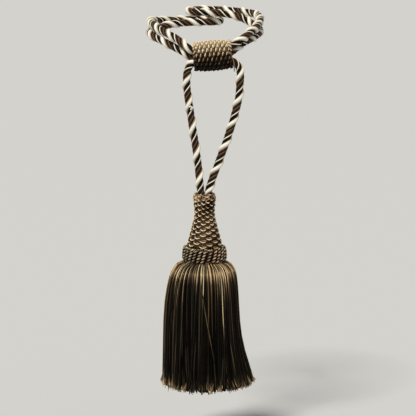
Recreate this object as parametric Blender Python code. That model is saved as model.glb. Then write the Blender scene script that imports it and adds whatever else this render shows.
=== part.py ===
"""Curtain tieback: a tassel hanging on one twisted rope that runs three times through a slide.

Millimetres, turned into metres by MM. X runs to the right of someone facing the tieback, Y runs
back to the wall and Z runs up. The origin is on the wall hook, where the two rope ends hang.
"""
import math

import bmesh
import bpy
from mathutils import Vector

MM = 0.001

# Rope
ROPE_D = 7.0            # rope diameter
ROPE_SIDES = 10         # sides of the rope's tube
STEP_MM = 26.0          # most rope between two points of the tube
STEP_DEG = 40.0         # most turn between two points of the tube
GAP = 0.3               # gap left between two pieces that touch

# Slide, the barrel the three lengths of rope run through. Its axis is along X, its right end up.
SLIDE_AT = (7.0, -106.0, -24.0)
SLIDE_LENGTH = 32.6
SLIDE_TILT_DEG = 4.5
SLIDE_BORE_R = 9.3
SLIDE_SEGMENTS = 40

# Head, the turned mould under the woven cover. Its axis is along Z.
HEAD_XY = (0.0, -110.0)
SOCKET_R = 7.8
SOCKET_FLOOR = -150.6
HEAD_SEGMENTS = 40

# Collar, the ruff of twisted cords
COLLAR_RIBS = 26
RIB_DEPTH = 1.2
RIB_SLANT_DEG = 16.0
POINTS_PER_RIB = 4

# Skirt
SKIRT_SEGMENTS = 72
SKIRT_FLUTES = (11, 17)

# The route of the rope's centre line: x, y, z of each point, read in order from one end to the
# other. Each table is one length of the rope.
LEFT_LEG = [
    (-3.3, -111.8, -150.0),
    (-3.35, -111.8, -139.5),
    (-6.6, -110.6, -108.0),
    (-12.0, -109.8, -72.0),
    (-15.0, -109.8, -48.0),
    (-13.8, -110.2, -34.6),
]
SLIDE_FIRST_PASS = [
    (-7.1, -110.2, -27.6),
    (6.9, -110.3, -22.3),
    (18.3, -107.6, -18.5),
]
RIGHT_ARM_UPPER = [
    (25.0, -105.7, -15.0),
    (30.0, -102.0, -11.9),
    (35.8, -93.6, -8.2),
    (42.0, -80.4, -4.4),
    (46.5, -63.0, -1.2),
    (48.1, -45.0, 1.2),
    (44.8, -22.0, 3.4),
    (28.0, -1.4, 4.4),
]
RIGHT_EYE = [
    (2.4, 13.8, 4.3),
    (-9.0, 10.7, 4.3),
    (-14.0, 0.0, 4.3),
    (-9.0, -10.7, 4.3),
    (2.4, -13.8, 4.3),
    (15.0, -15.4, 3.6),
    (29.4, -19.6, 1.2),
]
RIGHT_ARM_LOWER = [
    (43.0, -32.0, -4.6),
    (47.9, -52.0, -7.8),
    (44.9, -69.6, -10.3),
    (39.6, -81.0, -12.4),
    (34.2, -89.0, -14.4),
    (28.6, -96.0, -17.5),
]
SLIDE_SECOND_PASS = [
    (20.0, -101.0, -22.9),
    (13.6, -101.4, -22.8),
    (6.8, -102.2, -21.4),
    (-1.2, -103.9, -20.1),
    (-7.6, -104.6, -19.7),
]
LEFT_ARM_UPPER = [
    (-14.8, -102.2, -17.0),
    (-22.8, -96.2, -11.3),
    (-32.0, -85.2, -7.1),
    (-39.1, -72.0, -4.6),
    (-44.9, -56.0, -2.3),
    (-46.9, -36.0, -1.6),
    (-42.6, -16.0, -2.6),
]
LEFT_EYE = [
    (-26.0, 0.6, -4.0),
    (-2.4, 13.8, -4.3),
    (9.0, 10.7, -4.3),
    (14.0, 0.0, -4.3),
    (9.0, -10.7, -4.3),
    (-2.4, -13.8, -4.3),
]
LEFT_ARM_LOWER = [
    (-15.0, -15.4, -4.6),
    (-29.4, -19.6, -5.8),
    (-43.0, -33.0, -9.2),
    (-47.8, -50.0, -10.0),
    (-43.9, -65.0, -11.6),
    (-37.3, -77.6, -13.7),
    (-30.3, -86.8, -16.2),
    (-21.1, -94.6, -20.5),
    (-14.2, -98.8, -24.0),
]
SLIDE_THIRD_PASS = [
    (-7.7, -101.7, -27.0),
    (7.2, -105.5, -28.9),
    (13.5, -106.9, -28.5),
    (19.8, -107.5, -28.2),
]
RIGHT_LEG = [
    (25.2, -108.2, -29.3),
    (29.2, -108.8, -33.2),
    (30.4, -109.4, -39.0),
    (30.1, -109.8, -47.0),
    (28.4, -109.4, -63.0),
    (19.6, -108.8, -94.0),
    (6.2, -108.2, -131.0),
    (3.3, -108.2, -141.0),
    (3.3, -108.2, -150.0),
]
ROUTE = (
    LEFT_LEG + SLIDE_FIRST_PASS + RIGHT_ARM_UPPER + RIGHT_EYE + RIGHT_ARM_LOWER
    + SLIDE_SECOND_PASS + LEFT_ARM_UPPER + LEFT_EYE + LEFT_ARM_LOWER + SLIDE_THIRD_PASS
    + RIGHT_LEG
)

# Slide: distance from the middle as a share of half the length, outer radius
SLIDE_OUTSIDE = [
    (-1.0, 11.3),
    (-0.97, 11.9),
    (-0.86, 12.5),
    (-0.55, 13.0),
    (0.0, 13.2),
    (0.55, 13.0),
    (0.86, 12.5),
    (0.97, 11.9),
    (1.0, 11.3),
]
# Slide: the same for the bore, from the far mouth back to the near one
SLIDE_INSIDE = [
    (0.985, 11.0),
    (0.93, 10.4),
    (0.8, 9.7),
    (0.6, SLIDE_BORE_R),
    (-0.6, SLIDE_BORE_R),
    (-0.8, 9.7),
    (-0.93, 10.4),
    (-0.985, 11.0),
]
# Head: height, radius, from the top of the socket down to the middle of the foot
HEAD_PROFILE = [
    (-142.2, SOCKET_R + 0.3),
    (-142.0, 8.3),
    (-142.9, 9.3),
    (-145.0, 9.8),
    (-149.0, 9.6),
    (-154.0, 9.0),
    (-159.0, 8.8),
    (-163.0, 9.3),
    (-167.3, 10.5),
    (-172.0, 11.7),
    (-177.4, 13.1),
    (-182.0, 14.3),
    (-185.6, 15.1),
    (-189.4, 15.4),
    (-190.2, 15.2),
]
# Collar: height, outer radius, share of the rib depth
COLLAR_OUTSIDE = [
    (-186.6, 16.6, 0.2),
    (-187.2, 17.7, 0.7),
    (-189.0, 18.8, 1.0),
    (-193.0, 19.4, 1.0),
    (-197.0, 19.5, 1.0),
    (-199.4, 19.0, 0.8),
    (-200.3, 17.8, 0.3),
]
# Collar: height, inner radius, from the foot up to the rim
COLLAR_INSIDE = [
    (-200.3, 12.3),
    (-190.55, 12.3),
    (-190.55, 15.8),
    (-186.4, 15.55),
]
# Skirt: height, how far it reaches to the left, right, front and back, share of the flute depth
SKIRT_LEVELS = [
    (-190.6, 11.9, 11.9, 11.9, 11.9, 0.0),
    (-200.7, 11.9, 11.9, 11.9, 11.9, 0.0),
    (-201.0, 20.6, 20.4, 20.4, 20.4, 0.2),
    (-202.6, 24.4, 23.6, 23.8, 23.4, 0.4),
    (-206.4, 27.6, 26.6, 27.4, 26.4, 0.6),
    (-212.0, 30.6, 28.2, 29.6, 28.4, 0.7),
    (-220.0, 32.8, 29.2, 31.2, 29.6, 0.8),
    (-234.0, 35.2, 30.2, 32.6, 30.8, 0.9),
    (-250.0, 36.4, 31.0, 33.6, 31.8, 1.0),
    (-268.0, 36.8, 33.2, 34.4, 32.8, 1.0),
    (-284.0, 37.0, 37.0, 35.2, 33.8, 1.0),
    (-296.0, 37.2, 41.2, 36.0, 34.6, 1.0),
    (-305.0, 37.4, 43.6, 36.6, 35.2, 1.0),
    (-307.4, 36.4, 42.4, 35.6, 34.2, 0.9),
]
FLUTE_DEPTH = 1.7
HEM_RISE = 2.6          # how much the sides and back of the hem sit above its front
HEM_DOME = 1.6          # how much the middle of the hem is pressed in


def material(name, colour, roughness):
    """A Principled material of one colour."""
    made = bpy.data.materials.new(name)
    made.use_nodes = True
    shader = made.node_tree.nodes["Principled BSDF"]
    shader.inputs["Base Color"].default_value = (*colour, 1.0)
    shader.inputs["Roughness"].default_value = roughness
    made.diffuse_color = (*colour, 1.0)
    return made


def solid(name, points, faces, look, smooth=True):
    """One named mesh object from points in millimetres."""
    mesh = bpy.data.meshes.new(name)
    mesh.from_pydata([tuple(c * MM for c in p) for p in points], [], faces)
    mesh.validate()
    work = bmesh.new()
    work.from_mesh(mesh)
    bmesh.ops.recalc_face_normals(work, faces=work.faces)
    work.to_mesh(mesh)
    work.free()
    for face in mesh.polygons:
        face.use_smooth = smooth and len(face.vertices) == 4
    mesh.materials.append(look)
    made = bpy.data.objects.new(name, mesh)
    bpy.context.scene.collection.objects.link(made)
    return made


def ring_faces(rings, around, closed):
    """Quads between rings of points, one ring after another; closed joins the last to the first."""
    faces = []
    last = rings if closed else rings - 1
    for r in range(last):
        a = r * around
        b = ((r + 1) % rings) * around
        for k in range(around):
            n = (k + 1) % around
            faces.append((a + k, a + n, b + n, b + k))
    return faces


def route_point(points, t):
    """A point at t on the centripetal curve through the route; t counts route points."""
    last = len(points) - 1
    i = min(int(t), last - 1)
    p1 = points[i]
    p2 = points[i + 1]
    p0 = points[i - 1] if i > 0 else p1 + (p1 - p2)
    p3 = points[i + 2] if i + 2 <= last else p2 + (p2 - p1)
    k0 = 0.0
    k1 = k0 + (p1 - p0).length ** 0.5
    k2 = k1 + (p2 - p1).length ** 0.5
    k3 = k2 + (p3 - p2).length ** 0.5
    k = k1 + (t - i) * (k2 - k1)
    a1 = p0 * ((k1 - k) / (k1 - k0)) + p1 * ((k - k0) / (k1 - k0))
    a2 = p1 * ((k2 - k) / (k2 - k1)) + p2 * ((k - k1) / (k2 - k1))
    a3 = p2 * ((k3 - k) / (k3 - k2)) + p3 * ((k - k2) / (k3 - k2))
    b1 = a1 * ((k2 - k) / (k2 - k0)) + a2 * ((k - k0) / (k2 - k0))
    b2 = a2 * ((k3 - k) / (k3 - k1)) + a3 * ((k - k1) / (k3 - k1))
    return b1 * ((k2 - k) / (k2 - k1)) + b2 * ((k - k1) / (k2 - k1))


def rope_line(route):
    """The rope's points: closer together where it bends, wider apart where it is straight."""
    points = [Vector(p) for p in route]
    fine = [route_point(points, s / 40.0) for s in range(40 * (len(points) - 1) + 1)]
    kept = [fine[0]]
    run = 0.0
    turn = 0.0
    for before, here, after in zip(fine, fine[1:], fine[2:]):
        run += (here - before).length
        turn += math.degrees((here - before).angle(after - here, 0.0))
        if run / STEP_MM + turn / STEP_DEG >= 1.0:
            kept.append(here)
            run = 0.0
            turn = 0.0
    if (kept[-1] - fine[-1]).length < ROPE_D / 2:
        kept.pop()
    kept.append(fine[-1])
    return kept


def rope(name, look):
    """The rope as one tube along its line, with flat ends."""
    line = rope_line(ROUTE)
    data = bpy.data.curves.new(name, "CURVE")
    data.dimensions = "3D"
    data.bevel_depth = ROPE_D / 2 * MM
    data.bevel_resolution = ROPE_SIDES // 2 - 2
    data.use_fill_caps = True
    spline = data.splines.new("POLY")
    spline.points.add(len(line) - 1)
    for at, p in zip(spline.points, line):
        at.co = (p.x * MM, p.y * MM, p.z * MM, 1.0)
    spline.use_smooth = True
    data.materials.append(look)
    made = bpy.data.objects.new(name, data)
    bpy.context.scene.collection.objects.link(made)
    return made


def slide(name, look):
    """The barrel: a closed band of rings, out along its outside and back along its bore."""
    cx, cy, cz = SLIDE_AT
    tilt = math.radians(SLIDE_TILT_DEG)
    points = []
    profile = SLIDE_OUTSIDE + SLIDE_INSIDE
    for share, radius in profile:
        along = share * SLIDE_LENGTH / 2
        for k in range(SLIDE_SEGMENTS):
            a = 2 * math.pi * k / SLIDE_SEGMENTS
            up = radius * math.sin(a)
            x = cx + along * math.cos(tilt) - up * math.sin(tilt)
            z = cz + along * math.sin(tilt) + up * math.cos(tilt)
            points.append((x, cy + radius * math.cos(a), z))
    return solid(name, points, ring_faces(len(profile), SLIDE_SEGMENTS, True), look)


def head(name, look):
    """The turned head with a round socket in its top for the two ends of the rope."""
    cx, cy = HEAD_XY
    profile = [(SOCKET_FLOOR, SOCKET_R)] + HEAD_PROFILE
    points = []
    for height, radius in profile:
        for k in range(HEAD_SEGMENTS):
            a = 2 * math.pi * k / HEAD_SEGMENTS
            points.append((cx + radius * math.cos(a), cy + radius * math.sin(a), height))
    faces = ring_faces(len(profile), HEAD_SEGMENTS, False)
    foot = (len(profile) - 1) * HEAD_SEGMENTS
    faces.append(tuple(reversed(range(HEAD_SEGMENTS))))
    faces.append(tuple(range(foot, foot + HEAD_SEGMENTS)))
    return solid(name, points, faces, look)


def collar(name, look):
    """The ruff: slanting ribs on the outside and a stepped hole that holds the head's foot."""
    cx, cy = HEAD_XY
    around = COLLAR_RIBS * POINTS_PER_RIB
    top = COLLAR_OUTSIDE[0][0]
    foot = COLLAR_OUTSIDE[-1][0]
    points = []
    for height, radius, share in COLLAR_OUTSIDE:
        slant = math.radians(RIB_SLANT_DEG) * (top - height) / (top - foot)
        for k in range(around):
            a = 2 * math.pi * k / around
            dip = RIB_DEPTH * share if k % POINTS_PER_RIB == 0 else 0.0
            r = radius - dip
            points.append((cx + r * math.cos(a - slant), cy + r * math.sin(a - slant), height))
    for height, radius in COLLAR_INSIDE:
        for k in range(around):
            a = 2 * math.pi * k / around - math.radians(RIB_SLANT_DEG)
            points.append((cx + radius * math.cos(a), cy + radius * math.sin(a), height))
    rings = len(COLLAR_OUTSIDE) + len(COLLAR_INSIDE)
    return solid(name, points, ring_faces(rings, around, True), look)


def reach(angle, left, right, front, back):
    """How far the skirt reaches in a direction, between its reach to the sides, front and back."""
    across = right if math.cos(angle) > 0 else left
    along = back if math.sin(angle) > 0 else front
    c = math.cos(angle) / across
    s = math.sin(angle) / along
    return 1.0 / math.sqrt(c * c + s * s)


def flute(angle, height):
    """Soft bunches of threads: two waves round the skirt that wander a little on the way down."""
    first, second = SKIRT_FLUTES
    wander = 0.006 * (height + 200.0)
    wave = 0.6 * math.sin(first * angle + 0.7 + wander)
    wave += 0.4 * math.sin(second * angle + 2.1 - 2.0 * wander)
    return FLUTE_DEPTH * (wave - 1.0) / 2


def skirt(name, look):
    """The bundle of cut threads: a neck held in the collar, a shoulder and a flared fall."""
    cx, cy = HEAD_XY
    points = []
    for height, left, right, front, back, share in SKIRT_LEVELS:
        for k in range(SKIRT_SEGMENTS):
            a = 2 * math.pi * k / SKIRT_SEGMENTS
            r = reach(a, left, right, front, back) + share * flute(a, height)
            low = max(0.0, (-290.0 - height) / 17.4)
            rise = low * HEM_RISE * min(1.0, 1.0 + math.sin(a))
            points.append((cx + r * math.cos(a), cy + r * math.sin(a), height + rise))
    rings = len(SKIRT_LEVELS)
    faces = ring_faces(rings, SKIRT_SEGMENTS, False)
    faces.append(tuple(reversed(range(SKIRT_SEGMENTS))))
    hem = (rings - 1) * SKIRT_SEGMENTS
    centre = len(points)
    low = sum(p[2] for p in points[hem:]) / SKIRT_SEGMENTS
    points.append((cx + 2.0, cy, low + HEM_DOME))
    for k in range(SKIRT_SEGMENTS):
        n = (k + 1) % SKIRT_SEGMENTS
        faces.append((hem + k, hem + n, centre))
    return solid(name, points, faces, look)


def build():
    """Clear the scene and make the five pieces."""
    for old in list(bpy.data.objects):
        bpy.data.objects.remove(old, do_unlink=True)
    rope("rope", material("rope_yarn", (0.42, 0.34, 0.25), 0.5))
    slide("slide", material("slide_cover", (0.36, 0.25, 0.13), 0.55))
    head("head", material("head_cover", (0.33, 0.24, 0.14), 0.55))
    collar("collar", material("collar_yarn", (0.24, 0.18, 0.11), 0.6))
    skirt("skirt", material("skirt_yarn", (0.17, 0.12, 0.07), 0.5))


build()
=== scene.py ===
"""Curtain tieback tassel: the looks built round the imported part.

Sizes are in millimetres unless a comment says metres, and become metres through MM. The frame is the
part's own: X to the right of someone facing the tieback, Y back to the wall, Z up.
"""

import math

import bpy
import numpy as np
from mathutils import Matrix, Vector


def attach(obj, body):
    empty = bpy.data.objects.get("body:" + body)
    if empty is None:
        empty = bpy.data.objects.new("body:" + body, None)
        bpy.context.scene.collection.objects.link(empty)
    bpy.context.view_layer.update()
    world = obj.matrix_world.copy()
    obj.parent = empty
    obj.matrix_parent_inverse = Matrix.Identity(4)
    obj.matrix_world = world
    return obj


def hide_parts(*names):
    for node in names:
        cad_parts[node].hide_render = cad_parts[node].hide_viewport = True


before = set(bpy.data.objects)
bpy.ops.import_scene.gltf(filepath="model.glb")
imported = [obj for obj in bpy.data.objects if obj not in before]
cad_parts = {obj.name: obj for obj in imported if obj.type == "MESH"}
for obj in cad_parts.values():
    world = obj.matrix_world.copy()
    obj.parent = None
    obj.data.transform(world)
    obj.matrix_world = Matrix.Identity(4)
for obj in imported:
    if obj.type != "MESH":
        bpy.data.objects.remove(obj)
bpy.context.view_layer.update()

MM = 0.001
TAU = 2 * math.pi


def placed(name, data):
    """A new object of the scene that holds this data."""
    made = bpy.data.objects.new(name, data)
    bpy.context.scene.collection.objects.link(made)
    return made


# ---------------- camera

AIM = (3.0, -120.0, -152.6)     # the point in the middle of the picture
CAMERA_ELEVATION = 9.5          # degrees above the horizon
CAMERA_DISTANCE = 2200.0
MM_PER_PIXEL = 0.85             # at the aimed point
PICTURE = 416                   # pixels across
SENSOR = 36.0


def make_camera():
    """The camera in front of the tieback, looking along +Y and a little down."""
    e = math.radians(CAMERA_ELEVATION)
    back = Vector((0.0, -math.cos(e), math.sin(e)))
    data = bpy.data.cameras.new("camera")
    data.sensor_width = SENSOR
    data.lens = SENSOR * CAMERA_DISTANCE / (MM_PER_PIXEL * PICTURE)
    made = placed("camera", data)
    made.location = (Vector(AIM) + back * CAMERA_DISTANCE) * MM
    made.rotation_euler = back.to_track_quat("Z", "Y").to_euler()
    bpy.context.scene.camera = made


make_camera()

# ---------------- sizes shared with the part

LEFT_LEG = [
    (-3.3, -111.8, -150.0),
    (-3.35, -111.8, -139.5),
    (-6.6, -110.6, -108.0),
    (-12.0, -109.8, -72.0),
    (-15.0, -109.8, -48.0),
    (-13.8, -110.2, -34.6),
]
SLIDE_FIRST_PASS = [
    (-7.1, -110.2, -27.6),
    (6.9, -110.3, -22.3),
    (18.3, -107.6, -18.5),
]
RIGHT_ARM_UPPER = [
    (25.0, -105.7, -15.0),
    (30.0, -102.0, -11.9),
    (35.8, -93.6, -8.2),
    (42.0, -80.4, -4.4),
    (46.5, -63.0, -1.2),
    (48.1, -45.0, 1.2),
    (44.8, -22.0, 3.4),
    (28.0, -1.4, 4.4),
]
RIGHT_EYE = [
    (2.4, 13.8, 4.3),
    (-9.0, 10.7, 4.3),
    (-14.0, 0.0, 4.3),
    (-9.0, -10.7, 4.3),
    (2.4, -13.8, 4.3),
    (15.0, -15.4, 3.6),
    (29.4, -19.6, 1.2),
]
RIGHT_ARM_LOWER = [
    (43.0, -32.0, -4.6),
    (47.9, -52.0, -7.8),
    (44.9, -69.6, -10.3),
    (39.6, -81.0, -12.4),
    (34.2, -89.0, -14.4),
    (28.6, -96.0, -17.5),
]
SLIDE_SECOND_PASS = [
    (20.0, -101.0, -22.9),
    (13.6, -101.4, -22.8),
    (6.8, -102.2, -21.4),
    (-1.2, -103.9, -20.1),
    (-7.6, -104.6, -19.7),
]
LEFT_ARM_UPPER = [
    (-14.8, -102.2, -17.0),
    (-22.8, -96.2, -11.3),
    (-32.0, -85.2, -7.1),
    (-39.1, -72.0, -4.6),
    (-44.9, -56.0, -2.3),
    (-46.9, -36.0, -1.6),
    (-42.6, -16.0, -2.6),
]
LEFT_EYE = [
    (-26.0, 0.6, -4.0),
    (-2.4, 13.8, -4.3),
    (9.0, 10.7, -4.3),
    (14.0, 0.0, -4.3),
    (9.0, -10.7, -4.3),
    (-2.4, -13.8, -4.3),
]
LEFT_ARM_LOWER = [
    (-15.0, -15.4, -4.6),
    (-29.4, -19.6, -5.8),
    (-43.0, -33.0, -9.2),
    (-47.8, -50.0, -10.0),
    (-43.9, -65.0, -11.6),
    (-37.3, -77.6, -13.7),
    (-30.3, -86.8, -16.2),
    (-21.1, -94.6, -20.5),
    (-14.2, -98.8, -24.0),
]
SLIDE_THIRD_PASS = [
    (-7.7, -101.7, -27.0),
    (7.2, -105.5, -28.9),
    (13.5, -106.9, -28.5),
    (19.8, -107.5, -28.2),
]
RIGHT_LEG = [
    (25.2, -108.2, -29.3),
    (29.2, -108.8, -33.2),
    (30.4, -109.4, -39.0),
    (30.1, -109.8, -47.0),
    (28.4, -109.4, -63.0),
    (19.6, -108.8, -94.0),
    (6.2, -108.2, -131.0),
    (3.3, -108.2, -141.0),
    (3.3, -108.2, -150.0),
]
ROUTE = (
    LEFT_LEG + SLIDE_FIRST_PASS + RIGHT_ARM_UPPER + RIGHT_EYE + RIGHT_ARM_LOWER
    + SLIDE_SECOND_PASS + LEFT_ARM_UPPER + LEFT_EYE + LEFT_ARM_LOWER + SLIDE_THIRD_PASS
    + RIGHT_LEG
)

SLIDE_AT = (7.0, -106.0, -24.0)
SLIDE_LENGTH = 32.6
SLIDE_TILT_DEG = 4.5            # the right end is the higher one
HEAD_XY = (0.0, -110.0)

# Skirt: height, how far it reaches to the left, right, front and back, share of the flute depth
SKIRT_LEVELS = [
    (-190.6, 11.9, 11.9, 11.9, 11.9, 0.0),
    (-200.7, 11.9, 11.9, 11.9, 11.9, 0.0),
    (-201.0, 20.6, 20.4, 20.4, 20.4, 0.2),
    (-202.6, 24.4, 23.6, 23.8, 23.4, 0.4),
    (-206.4, 27.6, 26.6, 27.4, 26.4, 0.6),
    (-212.0, 30.6, 28.2, 29.6, 28.4, 0.7),
    (-220.0, 32.8, 29.2, 31.2, 29.6, 0.8),
    (-234.0, 35.2, 30.2, 32.6, 30.8, 0.9),
    (-250.0, 36.4, 31.0, 33.6, 31.8, 1.0),
    (-268.0, 36.8, 33.2, 34.4, 32.8, 1.0),
    (-284.0, 37.0, 37.0, 35.2, 33.8, 1.0),
    (-296.0, 37.2, 41.2, 36.0, 34.6, 1.0),
    (-305.0, 37.4, 43.6, 36.6, 35.2, 1.0),
    (-307.4, 36.4, 42.4, 35.6, 34.2, 0.9),
]
SKIRT_FLUTES = (11, 17)
FLUTE_DEPTH = 1.7
HEM_RISE = 2.6

# ---------------- curves and tubes


def unit(v):
    """Vectors along the last axis, made one long."""
    return v / np.maximum(np.linalg.norm(v, axis=-1, keepdims=True), 1e-12)


def tangents(points):
    """Unit tangents of lines of points: the second last axis runs along the line."""
    t = np.empty_like(points)
    t[..., 1:-1, :] = points[..., 2:, :] - points[..., :-2, :]
    t[..., 0, :] = points[..., 1, :] - points[..., 0, :]
    t[..., -1, :] = points[..., -1, :] - points[..., -2, :]
    return unit(t)


def lengths(points):
    """Distance along each line at each of its points."""
    steps = np.linalg.norm(np.diff(points, axis=-2), axis=-1)
    start = np.zeros(steps.shape[:-1] + (1,))
    return np.concatenate([start, np.cumsum(steps, axis=-1)], axis=-1)


def linear(p, q, start, end, k):
    """The point at k on the straight line that is at p for start and at q for end."""
    return p * ((end - k) / (end - start)) + q * ((k - start) / (end - start))


def route_point(points, t):
    """A point at t on the centripetal curve through the route; t counts route points."""
    last = len(points) - 1
    i = min(int(t), last - 1)
    p1 = points[i]
    p2 = points[i + 1]
    p0 = points[i - 1] if i > 0 else p1 + (p1 - p2)
    p3 = points[i + 2] if i + 2 <= last else p2 + (p2 - p1)
    k0 = 0.0
    k1 = k0 + (p1 - p0).length ** 0.5
    k2 = k1 + (p2 - p1).length ** 0.5
    k3 = k2 + (p3 - p2).length ** 0.5
    k = k1 + (t - i) * (k2 - k1)
    a1 = linear(p0, p1, k0, k1, k)
    a2 = linear(p1, p2, k1, k2, k)
    a3 = linear(p2, p3, k2, k3, k)
    b1 = linear(a1, a2, k0, k2, k)
    b2 = linear(a2, a3, k1, k3, k)
    return linear(b1, b2, k1, k2, k)


def smooth_line(route, step):
    """Points a step apart on the smooth curve through the route."""
    points = [Vector(p) for p in route]
    fine = [route_point(points, s / 40.0) for s in range(40 * (len(points) - 1) + 1)]
    fine = np.array([tuple(p) for p in fine])
    along = lengths(fine)
    even = np.linspace(0.0, along[-1], int(along[-1] / step) + 1)
    return np.stack([np.interp(even, along, fine[:, k]) for k in range(3)], axis=-1)


def steady_frame(line):
    """Two vectors square to a line that turn with it as little as they can."""
    t = tangents(line)
    first = np.empty_like(line)
    start = np.cross(t[0], (0.0, 1.0, 0.0))
    first[0] = start / np.linalg.norm(start)
    for i in range(1, len(line)):
        v = first[i - 1] - t[i] * np.dot(first[i - 1], t[i])
        first[i] = v / np.linalg.norm(v)
    return first, np.cross(t, first)


def wind(points, first, second, radius, angle):
    """A line wound round another: its points and the way out from the middle at each."""
    out = np.cos(angle)[..., None] * first + np.sin(angle)[..., None] * second
    return points + out * radius, out


def outward(angle, rise=0.0):
    """The way out from an upright axis at each angle, raised by rise."""
    return np.stack([np.cos(angle), np.sin(angle), rise + np.zeros_like(angle)], axis=-1)


def square_to(points, out):
    """Two vectors square to each line, the first as near to out as it can be."""
    t = tangents(points)
    first = unit(out - t * np.sum(out * t, axis=-1, keepdims=True))
    return first, np.cross(t, first)


class Yarns:
    """Swept tubes gathered into one mesh."""

    def __init__(self):
        self.points = []
        self.loops = []
        self.sizes = []
        self.slots = []
        self.uvs = []
        self.tints = []
        self.count = 0

    def add(self, points, out, radius, sides, slot, tint, flat=1.0, turn=0.0, edge=0.0, hue=0.5):
        """Tubes along one line of points, or along an array (tubes, points, 3) of them. radius,
        tint and hue are one number, or an array that spreads over (tubes, points). flat squashes
        the tubes along out; turn is how many times the pattern goes round in 10 mm; edge paints
        shade on the side away from out, darker the further round; hue runs from reddish to olive."""
        points = points.reshape(-1, *points.shape[-2:])
        m, n = points.shape[:2]
        first, second = square_to(points, np.broadcast_to(out, points.shape))
        a = TAU * np.arange(sides) / sides
        thick, shade, dye = (np.broadcast_to(v, (m, n))[..., None] for v in (radius, tint, hue))
        ring = first[:, :, None] * (np.cos(a)[:, None] * flat)
        ring = ring + second[:, :, None] * np.sin(a)[:, None]
        self.points.append((points[:, :, None] + ring * thick[..., None]).reshape(-1, 3))
        base = self.count + (np.arange(m) * n * sides)[:, None]
        row = base[:, :, None] + (np.arange(n - 1) * sides)[None, :, None]
        k = np.arange(sides)
        nk = (k + 1) % sides
        quad = np.stack([row + k, row + nk, row + sides + nk, row + sides + k], axis=-1)
        top = base + k[::-1]
        low = base + k + (n - 1) * sides
        self.loops += [quad.reshape(-1), np.concatenate([top, low]).reshape(-1)]
        self.sizes += [np.full(m * (n - 1) * sides, 4), np.full(2 * m, sides)]
        self.slots.append(np.full(m * (n - 1) * sides + 2 * m, slot))
        along = lengths(points)
        v = along / 10.0
        corners = []
        start, end = slice(0, -1), slice(1, None)
        for side, level in ((0, start), (1, start), (1, end), (0, end)):
            across = k / sides + side / sides + (v * turn)[:, level, None]
            corners.append(np.stack(np.broadcast_arrays(across, v[:, level, None]), axis=-1))
        self.uvs.append(np.stack(corners, axis=3).reshape(-1, 2))
        self.uvs.append(np.full((2 * m * sides, 2), 0.5))
        colour = np.ones((m, n, sides, 4))
        # Painted shade: the tint darkens round each tube, away from out, as far as edge says.
        colour[..., 0] = np.clip(shade - edge * (1.0 - np.cos(a)) / 2, 0.0, 1.0)
        colour[..., 1] = (along / along[:, -1:])[:, :, None]
        colour[..., 2] = dye
        self.tints.append(colour.reshape(-1, 4))
        self.count += m * n * sides

    def add_plied(self, line, up, away, lay, radius, sides, slots, tint, **look):
        """A yarn of two plies wound round one line, each away from it, with a turn every lay."""
        a, b = square_to(line, np.broadcast_to(up, line.shape))
        spin = TAU * lengths(line) / lay
        for k, slot in enumerate(slots):
            points, out = wind(line, a, b, away, spin + k * math.pi)
            self.add(points, out, radius, sides, slot, tint, **look)

    def mesh(self, name, materials):
        """The gathered tubes as one object, in metres."""
        points = np.concatenate(self.points) * MM
        whole = (self.loops, self.sizes, self.slots)
        loops, sizes, slots = (np.concatenate(part).astype(np.int32) for part in whole)
        starts = np.concatenate([[0], np.cumsum(sizes)[:-1]]).astype(np.int32)
        data = bpy.data.meshes.new(name)
        data.vertices.add(len(points))
        data.vertices.foreach_set("co", points.astype(np.float32).reshape(-1))
        data.loops.add(len(loops))
        data.loops.foreach_set("vertex_index", loops)
        data.polygons.add(len(sizes))
        data.polygons.foreach_set("loop_start", starts)
        data.polygons.foreach_set("material_index", slots)
        data.update(calc_edges=True)
        data.polygons.foreach_set("use_smooth", np.ones(len(sizes), dtype=bool))
        layer = data.uv_layers.new(name="yarn_uv")
        layer.uv.foreach_set("vector", np.concatenate(self.uvs).astype(np.float32).reshape(-1))
        tint = data.attributes.new("yarn", "FLOAT_COLOR", "POINT")
        tint.data.foreach_set("color", np.concatenate(self.tints).astype(np.float32).reshape(-1))
        data.validate()
        for look in materials:
            data.materials.append(look)
        return placed(name, data)


def lathe(name, profile, place, around, look, closed=False, shape=None):
    """A turned surface: profile is (distance along, radius) and place turns it into points. shape
    gives the radius from the angles, the distance along and the profile's radius."""
    rows = []
    a = TAU * np.arange(around) / around
    for s, r in profile:
        radius = shape(a, s, r) if shape else np.full(around, float(r))
        rows.append(place(np.full(around, float(s)), radius, a))
    points = np.concatenate(rows) * MM
    faces = []
    for i in range(len(profile) - 1):
        for k in range(around):
            n = (k + 1) % around
            faces.append((i * around + k, i * around + n, (i + 1) * around + n, (i + 1) * around + k))
    if closed:
        last = (len(profile) - 1) * around
        faces += [tuple(range(around))[::-1], tuple(range(last, last + around))]
    data = bpy.data.meshes.new(name)
    data.from_pydata(points.tolist(), [], faces)
    data.update()
    for face in data.polygons:
        face.use_smooth = len(face.vertices) == 4
    data.materials.append(look)
    return placed(name, data)


# ---------------- materials

RELIEF_DEPTH = 0.0004           # metres
# Painted shade in the grooves between the fine threads: colour by how high they stand, and how far it
# tells
GROOVE_SHADE = [(0.0, (0.45, 0.42, 0.38)), (0.45, (1.0, 1.0, 1.0))]
GROOVE_SHARE = 0.45
# Dye from reddish to olive
DYE = [(0.0, (1.0, 0.70, 0.58)), (0.5, (1.0, 1.0, 1.0)), (1.0, (0.80, 0.96, 0.86))]


def node(tree, kind, **inputs):
    """A shader node with its inputs set by name."""
    made = tree.nodes.new(kind)
    for key, value in inputs.items():
        made.inputs[key.replace("_", " ")].default_value = value
    return made


def ramp(tree, stops):
    """A colour ramp from (place, (r, g, b)) stops."""
    made = tree.nodes.new("ShaderNodeValToRGB")
    band = made.color_ramp
    while len(band.elements) < len(stops):
        band.elements.new(0.5)
    for element, (place, colour) in zip(band.elements, stops):
        element.position = place
        element.color = (*colour, 1.0)
    return made


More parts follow.
